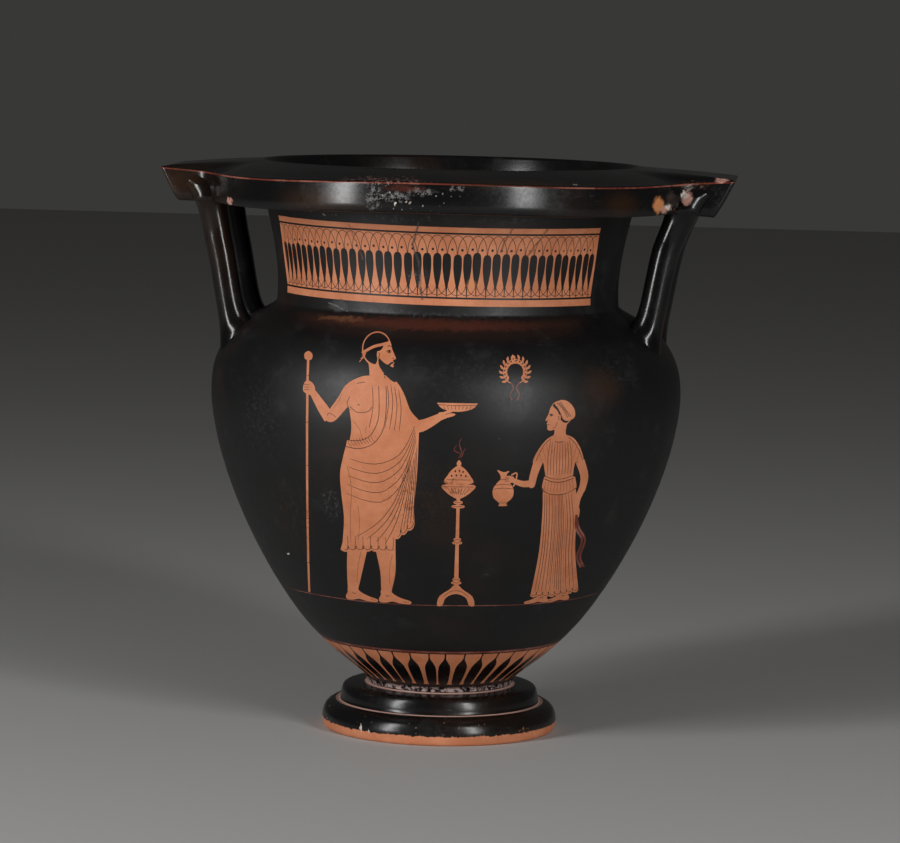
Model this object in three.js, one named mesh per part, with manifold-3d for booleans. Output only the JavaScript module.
// A Greek column krater, the wide-mouthed bowl in which wine and water were mixed.
// It is thrown on the wheel in three lengths - a two-stepped foot, an egg-shaped body and a neck with
// a broad sloping rim - and each handle is a flat plate on the rim's edge, carried by two round columns
// that rise from the shoulder. The lengths are luted together before firing, so the krater is one solid,
// hollow and open at the mouth, with a recess under the foot.
// Millimetres, +Z up, origin at the centre of the foot's resting ring, handles along X, front towards -Y.
import * as THREE from "three";
import { mergeVertices } from "three/addons/utils/BufferGeometryUtils.js";
import Module from "manifold-3d";

const wasm = await Module();
wasm.setup();

// Driving dimensions.
const HEIGHT = 410;
const MOUTH_RADIUS = 134.6;
const FOOT_RADIUS = 85;
const BELLY_RADIUS = 169.2;
const BELLY_HEIGHT = 243;
const WALL = 6.2;

// The rim: its top slopes down from the mouth to an outer face that hangs like a collar.
const RIM_RADIUS = 172;
const RIM_EDGE_HEIGHT = 402;
const RIM_FACE = 21;

// The handle plates: they run out from the rim, and their end faces lean in towards the bottom.
const PLATE_REACH = 203.4;
const PLATE_HALF_WIDTH = 47;
const PLATE_FILLET = 18;
const PLATE_END_HEIGHT = 404;
const PLATE_END_LEAN = 11;
const PLATE_END_DROP = 3.5;

// The handle columns: two to a handle, each side of the handle's middle.
const COLUMN_OFFSET = 38.5;
const COLUMN_RADIUS = 10.1;
const COLUMN_ROOT_RADIUS = 12.5;
const COLUMN_HEAD_RADIUS = 11;

// Fineness of the faceted solid.
const SPAN_STEPS = 10;
const COLUMN_SIDES = 12;
const COLUMN_STEPS = 10;

const at = (radius, height) => new THREE.Vector2(radius, height);

// A smooth curve through a few points, as so many points.
const through = (steps, ...points) => new THREE.SplineCurve(points).getPoints(steps);

// The foot, from the middle of the recess under it, over the resting ring and the two steps, to the joint.
function footOutline() {
  const recess = through(2, at(61, 0), at(56, 13), at(42, 24));
  const lowerStep = through(
    6,
    at(FOOT_RADIUS - 4, 0),
    at(FOOT_RADIUS - 0.6, 3.4),
    at(FOOT_RADIUS, 8),
    at(FOOT_RADIUS - 1.4, 14),
    at(FOOT_RADIUS - 5.6, 18.6),
    at(FOOT_RADIUS - 10.6, 20.2),
  );
  const upperStep = through(3, at(72.6, 19.4), at(72.4, 25), at(70.6, 30), at(67, 31.6));
  return [at(0, 28), ...recess.reverse(), ...lowerStep, ...upperStep, at(54, 32.4), at(52.8, 34)];
}

// The body, from the joint with the foot to the foot of the neck.
function bodyOutline() {
  return through(
    17,
    at(55.5, 39.5),
    at(79, 58.5),
    at(100, 80),
    at(118, 105),
    at(133, 130.5),
    at(146, 157),
    at(157, 185),
    at(165, 213),
    at(BELLY_RADIUS, BELLY_HEIGHT),
    at(165.6, 269),
    at(151, 291),
    at(125.2, 307),
  );
}

// The neck, which flares up under the rim.
function neckOutline() {
  return through(4, at(122.8, 309.4), at(122.7, 328), at(125.6, 350), at(130.4, 372), at(135.5, 387));
}

// The rim, from its underside over the hanging face and the sloping top to the mouth's edge.
function rimOutline() {
  const faceFoot = RIM_EDGE_HEIGHT - RIM_FACE;
  return [
    at(143, 391.5),
    at(155, 388.5),
    at(164, 382),
    at(RIM_RADIUS - 3, faceFoot - 0.4),
    at(RIM_RADIUS, faceFoot + 2),
    at(RIM_RADIUS + 0.5, RIM_EDGE_HEIGHT - RIM_FACE / 2),
    at(RIM_RADIUS, RIM_EDGE_HEIGHT - 1.2),
    at(RIM_RADIUS - 2, RIM_EDGE_HEIGHT + 0.4),
    at(MOUTH_RADIUS + 2.4, HEIGHT),
  ];
}

// The hollow inside, from the middle of its floor up to just over the mouth.
function hollowOutline() {
  const belly = BELLY_RADIUS - WALL;
  return [
    ...through(
      15,
      at(0, 43),
      at(32, 45.5),
      at(60, 54),
      at(85, 72.5),
      at(112, 106.5),
      at(139.6, 158),
      at(158.8, 213),
      at(belly, BELLY_HEIGHT),
      at(159.4, 267),
      at(146, 286),
      at(122, 301),
      at(116.4, 312),
      at(117, 334),
      at(124, 372),
      at(MOUTH_RADIUS - 3, 402),
      at(MOUTH_RADIUS, HEIGHT),
    ),
    at(MOUTH_RADIUS + 1, HEIGHT + 4),
    at(0, HEIGHT + 4),
  ];
}

// Where the fillet between the round rim and a plate's straight side begins and ends, seen from above.
function filletEnds() {
  const centreY = PLATE_HALF_WIDTH + PLATE_FILLET;
  const centreX = Math.sqrt((RIM_RADIUS + PLATE_FILLET) ** 2 - centreY ** 2);
  return { centreX, centreY, onRim: Math.atan2(centreY, centreX) };
}

// How far the rim's edge lies from the axis, at an angle from the nearer handle.
function rimReach(angle) {
  const { centreX, centreY, onRim } = filletEnds();
  const corner = Math.atan2(PLATE_HALF_WIDTH, PLATE_REACH);
  if (angle <= corner) return PLATE_REACH / Math.cos(angle);
  if (angle >= onRim) return RIM_RADIUS;
  if (angle <= Math.atan2(PLATE_HALF_WIDTH, centreX)) return PLATE_HALF_WIDTH / Math.sin(angle);
  const along = centreX * Math.cos(angle) + centreY * Math.sin(angle);
  return along - Math.sqrt(along ** 2 - (centreX ** 2 + centreY ** 2 - PLATE_FILLET ** 2));
}

// The angles of a quarter turn, from the middle of a handle: the plate's end, its corner, its side,
// the fillet, and then even steps round to the middle of the front.
function quarterAngles() {
  const { centreX, onRim } = filletEnds();
  const corner = Math.atan2(PLATE_HALF_WIDTH, PLATE_REACH);
  const side = Math.atan2(PLATE_HALF_WIDTH, centreX);
  const fillet = [0.25, 0.6].map((share) => side + share * (onRim - side));
  const rest = Math.PI / 2 - onRim;
  const even = [...Array(SPAN_STEPS).keys()].map((step) => onRim + (step * rest) / SPAN_STEPS);
  return [0, corner / 2, corner, side, ...fillet, ...even];
}

// The angles of the whole turn, in order, with the quarter mirrored from handle to handle.
function allAngles() {
  const quarter = quarterAngles();
  const half = [...quarter, Math.PI / 2, ...quarter.slice(1).reverse().map((a) => Math.PI - a)];
  return [...half, ...half.map((a) => a + Math.PI), 2 * Math.PI];
}

// Draws a rim point out to the plates. Points on the mouth stay, and the plate's foot moves out less.
function drawnOut(radius, height, angle) {
  const toHandle = Math.acos(Math.abs(Math.cos(angle)));
  const extra = rimReach(toHandle) - RIM_RADIUS;
  if (radius < RIM_RADIUS - 3.5 || height < RIM_EDGE_HEIGHT - RIM_FACE - 1) return { radius, height };
  const low = (RIM_EDGE_HEIGHT - height) / RIM_FACE;
  const lean = THREE.MathUtils.clamp(low, 0, 1) * PLATE_END_LEAN;
  const most = PLATE_REACH - RIM_RADIUS;
  const share = THREE.MathUtils.clamp(extra / most, 0, 1);
  const lift = share * ((PLATE_END_HEIGHT - RIM_EDGE_HEIGHT) * (1 - low) - PLATE_END_DROP * low);
  return { radius: radius + extra - share * lean, height: height + lift };
}

// A solid turned about Z from a closed outline, with its columns of points at the given angles.
function turned(outline, angles, place = (radius, height) => ({ radius, height })) {
  const geometry = new THREE.LatheGeometry(outline, angles.length - 1);
  const position = geometry.getAttribute("position");
  angles.forEach((angle, column) =>
    outline.forEach((point, row) => {
      const { radius, height } = place(point.x, point.y, angle);
      const turn = column === angles.length - 1 ? 0 : angle;
      position.setXYZ(
        column * outline.length + row,
        radius * Math.cos(turn),
        radius * Math.sin(turn),
        height,
      );
    }),
  );
  return solid(geometry);
}

// A round bar along a curve, whose radius is a function of the share of the way along it.
function taperedBar(curve, radiusAt) {
  const frames = curve.computeFrenetFrames(COLUMN_STEPS, false);
  const vertices = [];
  const faces = [];
  for (let step = 0; step <= COLUMN_STEPS; step++) {
    const share = step / COLUMN_STEPS;
    const centre = curve.getPointAt(share);
    for (let side = 0; side < COLUMN_SIDES; side++) {
      const turn = (side * 2 * Math.PI) / COLUMN_SIDES;
      const point = centre
        .clone()
        .addScaledVector(frames.normals[step], radiusAt(share) * Math.cos(turn))
        .addScaledVector(frames.binormals[step], radiusAt(share) * Math.sin(turn));
      vertices.push(...point.toArray());
      const next = (side + 1) % COLUMN_SIDES;
      const [a, b] = [step * COLUMN_SIDES + side, step * COLUMN_SIDES + next];
      if (step < COLUMN_STEPS) faces.push(a, b, b + COLUMN_SIDES, a, b + COLUMN_SIDES, a + COLUMN_SIDES);
    }
  }
  const last = COLUMN_STEPS * COLUMN_SIDES;
  for (let side = 1; side < COLUMN_SIDES - 1; side++) {
    faces.push(0, side + 1, side, last, last + side, last + side + 1);
  }
  const geometry = new THREE.BufferGeometry();
  geometry.setAttribute("position", new THREE.Float32BufferAttribute(vertices, 3));
  geometry.setIndex(faces);
  return solid(geometry);
}

// One handle column. It leaves the shoulder upright, leans out and ends under the plate's top.
function handleColumn(side, offset) {
  const curve = new THREE.CatmullRomCurve3(
    [
      [147.5, 254],
      [147.8, 286],
      [152.3, 315],
      [158.3, 345],
      [167.5, 376],
      [178.5, 391],
    ].map(([reach, height]) => new THREE.Vector3(side * reach, offset, height)),
  );
  const flare = (share) =>
    COLUMN_RADIUS +
    (COLUMN_ROOT_RADIUS - COLUMN_RADIUS) * (1 - THREE.MathUtils.smoothstep(share, 0.1, 0.45)) +
    (COLUMN_HEAD_RADIUS - COLUMN_RADIUS) * THREE.MathUtils.smoothstep(share, 0.6, 0.95);
  return taperedBar(curve, flare);
}

// A closed geometry as a solid that can be joined and cut.
function solid(geometry) {
  const bare = geometry.clone();
  bare.deleteAttribute("normal");
  bare.deleteAttribute("uv");
  const merged = mergeVertices(bare, 1e-3);
  const corners = [...merged.index.array];
  const triangles = [];
  for (let i = 0; i < corners.length; i += 3) {
    const [a, b, c] = corners.slice(i, i + 3);
    if (a !== b && b !== c && c !== a) triangles.push(a, b, c);
  }
  const made = new wasm.Manifold(
    new wasm.Mesh({
      numProp: 3,
      vertProperties: new Float32Array(merged.getAttribute("position").array),
      triVerts: new Uint32Array(triangles),
    }),
  );
  if (made.volume() > 0) return made;
  return solid(merged.setIndex(triangles.reverse()));
}

// A solid as a three.js geometry.
function geometryOf(made) {
  const mesh = made.getMesh();
  const geometry = new THREE.BufferGeometry();
  geometry.setAttribute("position", new THREE.BufferAttribute(mesh.vertProperties, 3));
  geometry.setIndex(new THREE.BufferAttribute(mesh.triVerts, 1));
  geometry.computeVertexNormals();
  return geometry;
}

const outline = [...footOutline(), ...bodyOutline(), ...neckOutline(), ...rimOutline(), at(0, HEIGHT)];
const angles = allAngles();
let vessel = turned(outline, angles, drawnOut);
for (const side of [-1, 1]) {
  for (const offset of [-COLUMN_OFFSET, COLUMN_OFFSET]) {
    vessel = vessel.add(handleColumn(side, offset));
  }
}
vessel = vessel.subtract(turned(hollowOutline(), angles));

const blackGloss = new THREE.MeshStandardMaterial({ color: 0x14110f, roughness: 0.32, metalness: 0 });
const krater = new THREE.Mesh(geometryOf(vessel), blackGloss);
krater.name = "krater";

const group = new THREE.Group();
group.add(krater);

export default group;
